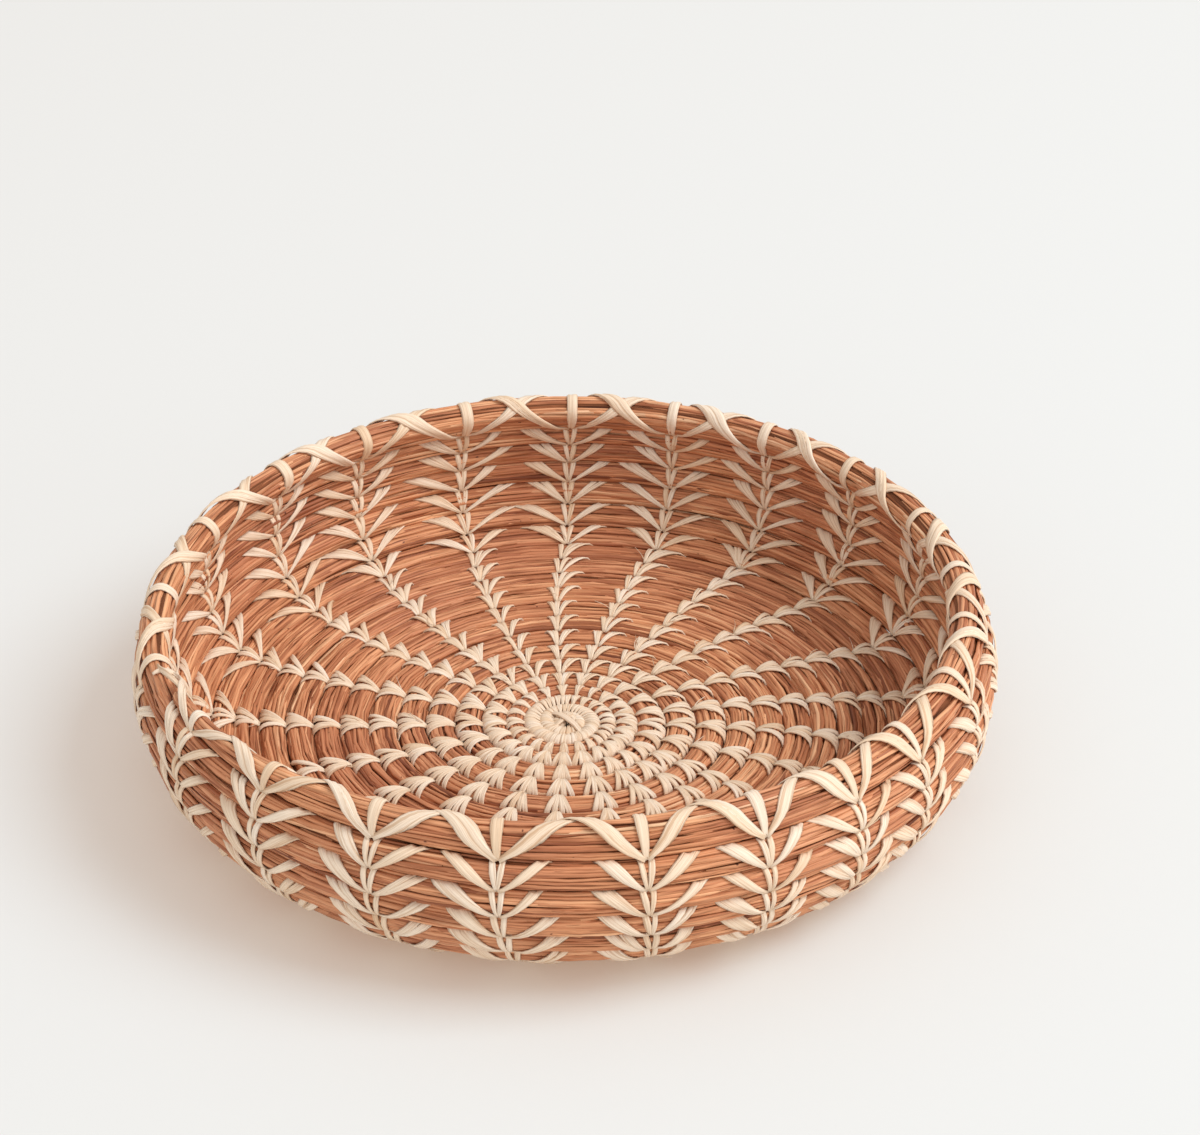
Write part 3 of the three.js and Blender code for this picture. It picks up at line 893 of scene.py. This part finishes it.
def add_fan(strands, row, face):
    """A fan of strands on one row of the floor, from a node at its inner groove. Near the middle it is a
    close fan, and further out two legs, sometimes a third, and a long horn that narrows and curves clockwise.
    In front the fans are even, and the further back, the more they reach clockwise."""
    random = strands.random
    outwards = (row - START_END) / (FLOOR_END - START_END)
    reach = FAN_REACH * (1 - math.cos(even_azimuth_at(row) - EVEN_FANS_AZIMUTH))
    if row < BUTTON_FAN_END:
        fingers = BUTTON_FAN
        reach = 0
    elif row < START_END:
        fingers = START_FAN
        reach *= 0.5
    elif outwards < INNER_FAN_END:
        fingers = INNER_FAN
    elif outwards < MIDDLE_FAN_END:
        fingers = MIDDLE_FAN
    else:
        fingers = [*OUTER_FAN_LEGS, (4.6 + 1.4 * random.uniform(), 2.0)]
        if random.uniform() < 0.5:
            fingers.append(OUTER_FAN_EXTRA)
    for number, (even_end, width) in enumerate(fingers):
        horn = even_end > HORN_REACH
        end = even_end + reach * (0.6 + 0.4 * np.sign(even_end))
        strands.stitch(
            row, face, 0.1 * end, end + random.normal(0, 0.3),
            (0.8, width * random.uniform(0.88, 1.12), width * (0.45 if horn else random.uniform(0.75, 1.0))),
            lift=0.1 + 0.05 * number,
            bow=(-0.9 if horn else -0.06 * end) + random.normal(0, 0.12),
            hump=0.15,
            roll=random.normal(0, 0.08),
            full_at=0.45,
        )


def floor_stitches(line):
    """The fans of one spoke, on top and underneath."""
    strands = Strands(FLOOR_SEED + line)
    for row in rows_on_line(line, START_END, FLOOR_END):
        for face in (1, -1):
            add_fan(strands, row, face)
    return strands


def start_stitches():
    """Raffia wound closely round the coil's first turns, side by side, and the first fans round those."""
    strands = Strands(START_SEED)
    random = strands.random
    from_length, to_length = np.interp([COIL_START + 0.1, BUTTON_END], ROW_SAMPLES, LENGTH_SAMPLES)
    for run in np.linspace(from_length, to_length, int((to_length - from_length) / WINDING_STEP)):
        row = np.interp(run, LENGTH_SAMPLES, ROW_SAMPLES)
        for face in (1, -1):
            strands.add(
                row, (face * WINDING_RUN, face * 0.1), (-0.3, 0.4 + random.normal(0, 0.15)),
                (0.9, random.uniform(1.55, 1.9), 1.7),
                lift=random.uniform(0.1, 0.25), hump=0.2, roll=random.normal(0, 0.07), full_at=0.5,
            )
    for line in range(STITCH_LINES):
        for row in rows_on_line(line, 0, START_END):
            if row > BUTTON_END:
                for face in (1, -1):
                    add_fan(strands, row, face)
    return strands


def crossing_strands():
    """Three strands that were drawn over the middle of the button: lines bent by a half wave, and highest
    half way."""
    share = np.linspace(0, 1, STITCH_STEPS)[None, :]
    from_x, from_y, to_x, to_y, width, level = BUTTON_CROSSINGS.T[:, :, None]
    wave = np.sin(math.pi * share)
    x = from_x + (to_x - from_x) * share + 0.7 * wave
    y = from_y + (to_y - from_y) * share + 0.5 * wave
    middle = np.stack([x, y, level - 1.3 * (1 - wave) ** 2], -1)
    out = np.broadcast_to(np.array([0.0, 0.0, 1.0]), middle.shape)
    half = 0.5 * width * (0.55 + 0.45 * wave)
    thickness = np.ones_like(half)
    rings, fibre = rings_about(middle, out, half, thickness, RIBBON_SECTION, np.zeros_like(half))
    return rings, fibre, np.array([0.75, 0.55, 0.6])


def start_raffia():
    """The whole button, on top and underneath, as one piece."""
    wound = start_stitches().rings(STITCH_STEPS, RIBBON_SECTION)
    rings, fibre, shade = (np.concatenate(both) for both in zip(wound, crossing_strands()))
    return strand_mesh("start_raffia", rings, fibre, shade, RAFFIA, "raffia_wrap", ["raffia_start_coil"])


def frayed_fibres():
    """Thin fibres that stand off the raffia near its nodes."""
    strands = Strands(FRAYED_SEED)
    random = strands.random
    for _ in range(FRAYED_FIBRES):
        line = int(random.integers(STITCH_LINES))
        row = float(random.choice(rows_on_line(line, START_END, WALL_END)))
        face = 1 if row < FLOOR_END or random.uniform() < 0.4 else -1
        far = random.uniform(1.5, 6)
        way = random.choice([-1, 1])
        strands.add(
            row, (face * random.uniform(8, 11), face * (10 - far)), (way * 0.4, way * random.uniform(0.5, 6)),
            (0.3, 0.26, 0.12),
            lift=0.5, rise=random.uniform(0.1, 1.1), bow=random.normal(0, 0.6), hump=random.uniform(0, 0.4),
        )
    return strands


# Stage

def floor_material():
    """Pale floor. To the camera and to gloss it is partly its own light and partly paint, which keeps its
    shadows soft and warm. To all other light it is plain paint."""
    material, paint = node_material("studio_floor", 0.9, 0.1)
    paint.inputs["Base Color"].default_value = (0.80, 0.785, 0.755, 1)
    seen_paint = add_node(material, "ShaderNodeBsdfDiffuse")
    seen_paint.inputs["Color"].default_value = (0.435, 0.55, 0.61, 1)
    glow = add_node(material, "ShaderNodeEmission")
    glow.inputs["Color"].default_value = (0.36, 0.22, 0.135, 1)
    seen = add_node(material, "ShaderNodeAddShader")
    join(material, seen_paint.outputs["BSDF"], seen.inputs[0])
    join(material, glow.outputs["Emission"], seen.inputs[1])
    path = add_node(material, "ShaderNodeLightPath")
    looked_at = add_node(material, "ShaderNodeMath", operation="MAXIMUM")
    join(material, path.outputs["Is Camera Ray"], looked_at.inputs[0])
    join(material, path.outputs["Is Glossy Ray"], looked_at.inputs[1])
    chosen = add_node(material, "ShaderNodeMixShader")
    join(material, looked_at.outputs["Value"], chosen.inputs["Fac"])
    join(material, paint.outputs["BSDF"], chosen.inputs[1])
    join(material, seen.outputs["Shader"], chosen.inputs[2])
    join(material, chosen.outputs["Shader"], material.node_tree.nodes["Material Output"].inputs["Surface"])
    return material


def make_stage():
    """A wide pale floor under the basket."""
    reach = 6.0
    corners = [(-reach, -reach, 0), (reach, -reach, 0), (reach, reach, 0), (-reach, reach, 0)]
    mesh = bpy.data.meshes.new("studio_floor")
    mesh.from_pydata(corners, [], [(0, 1, 2, 3)])
    mesh.materials.append(floor_material())
    floor = bpy.data.objects.new("studio_floor", mesh)
    bpy.context.scene.collection.objects.link(floor)


def add_lamp(name, place, size, power):
    """A square soft lamp that faces the basket."""
    data = bpy.data.lights.new(name, "AREA")
    data.size = size
    data.energy = power
    lamp = bpy.data.objects.new(name, data)
    lamp.location = place
    lamp.rotation_euler = (-Vector(place)).to_track_quat("-Z", "Y").to_euler()
    bpy.context.scene.collection.objects.link(lamp)


def light_stage():
    """Even light from all round, a high window and a weak low one on the right, and a weak lamp at the left
    front."""
    world = bpy.data.worlds.new("studio")
    bpy.context.scene.world = world
    world.use_nodes = True
    world.node_tree.nodes["Background"].inputs["Color"].default_value = (1, 0.99, 0.97, 1)
    world.node_tree.nodes["Background"].inputs["Strength"].default_value = 0.70
    add_lamp("window", (2.4, -0.3, 2.8), 2.1, 93)
    add_lamp("low_window", (2.2, -1.1, 0.7), 0.9, 5)
    add_lamp("fill", (-0.9, -2.1, 1.0), 1.6, 8)


NEEDLES = needle_material()
PAINTED_SHADE_CORE = painted_shade_core_material()
RAFFIA = raffia_material()

place_camera()
make_stage()
light_stage()

needle_bundle("start_needles", "raffia_start_coil", BUTTON_END - 0.2, START_END, seed=71)
needle_bundle("inner_floor_needles", "needle_coil_floor", START_END, FLOOR_MIDDLE, seed=11)
needle_bundle("outer_floor_needles", "needle_coil_floor", FLOOR_MIDDLE, FLOOR_END, seed=15)
needle_bundle("lower_wall_needles", "needle_coil_lower_wall", FLOOR_END, LOWER_WALL_END, seed=21)
needle_bundle("middle_wall_needles", "needle_coil_middle_wall", LOWER_WALL_END, MIDDLE_WALL_END, seed=31)
needle_bundle("upper_wall_needles", "needle_coil_upper_wall", MIDDLE_WALL_END, UPPER_WALL_END, seed=51)
needle_bundle("shoulder_needles", "needle_coil_shoulder", UPPER_WALL_END, WALL_END, seed=61)
needle_bundle("rim_needles", "needle_coil_rim", WALL_END, COIL_END, seed=41)
bundle_core("bundle_core", COIL_START + 0.02, COIL_END - 0.002)

start_raffia()
for line in range(STITCH_LINES):
    spoke = f"floor_spoke_{line + 1:02d}"
    fern = f"wall_fern_{line + 1:02d}"
    floor_stitches(line).mesh(f"spoke_raffia_{line + 1:02d}", [spoke])
    wall_stitches(line).mesh(f"fern_raffia_{line + 1:02d}", [fern])
    rim_stitches(line).mesh(f"rim_raffia_{line + 1:02d}", [fern], steps=LONG_STITCH_STEPS)
frayed_fibres().mesh("frayed_fibres", [], section=FIBRE_SECTION)

bpy.context.scene.view_settings.view_transform = "Standard"
bpy.context.view_layer.update()
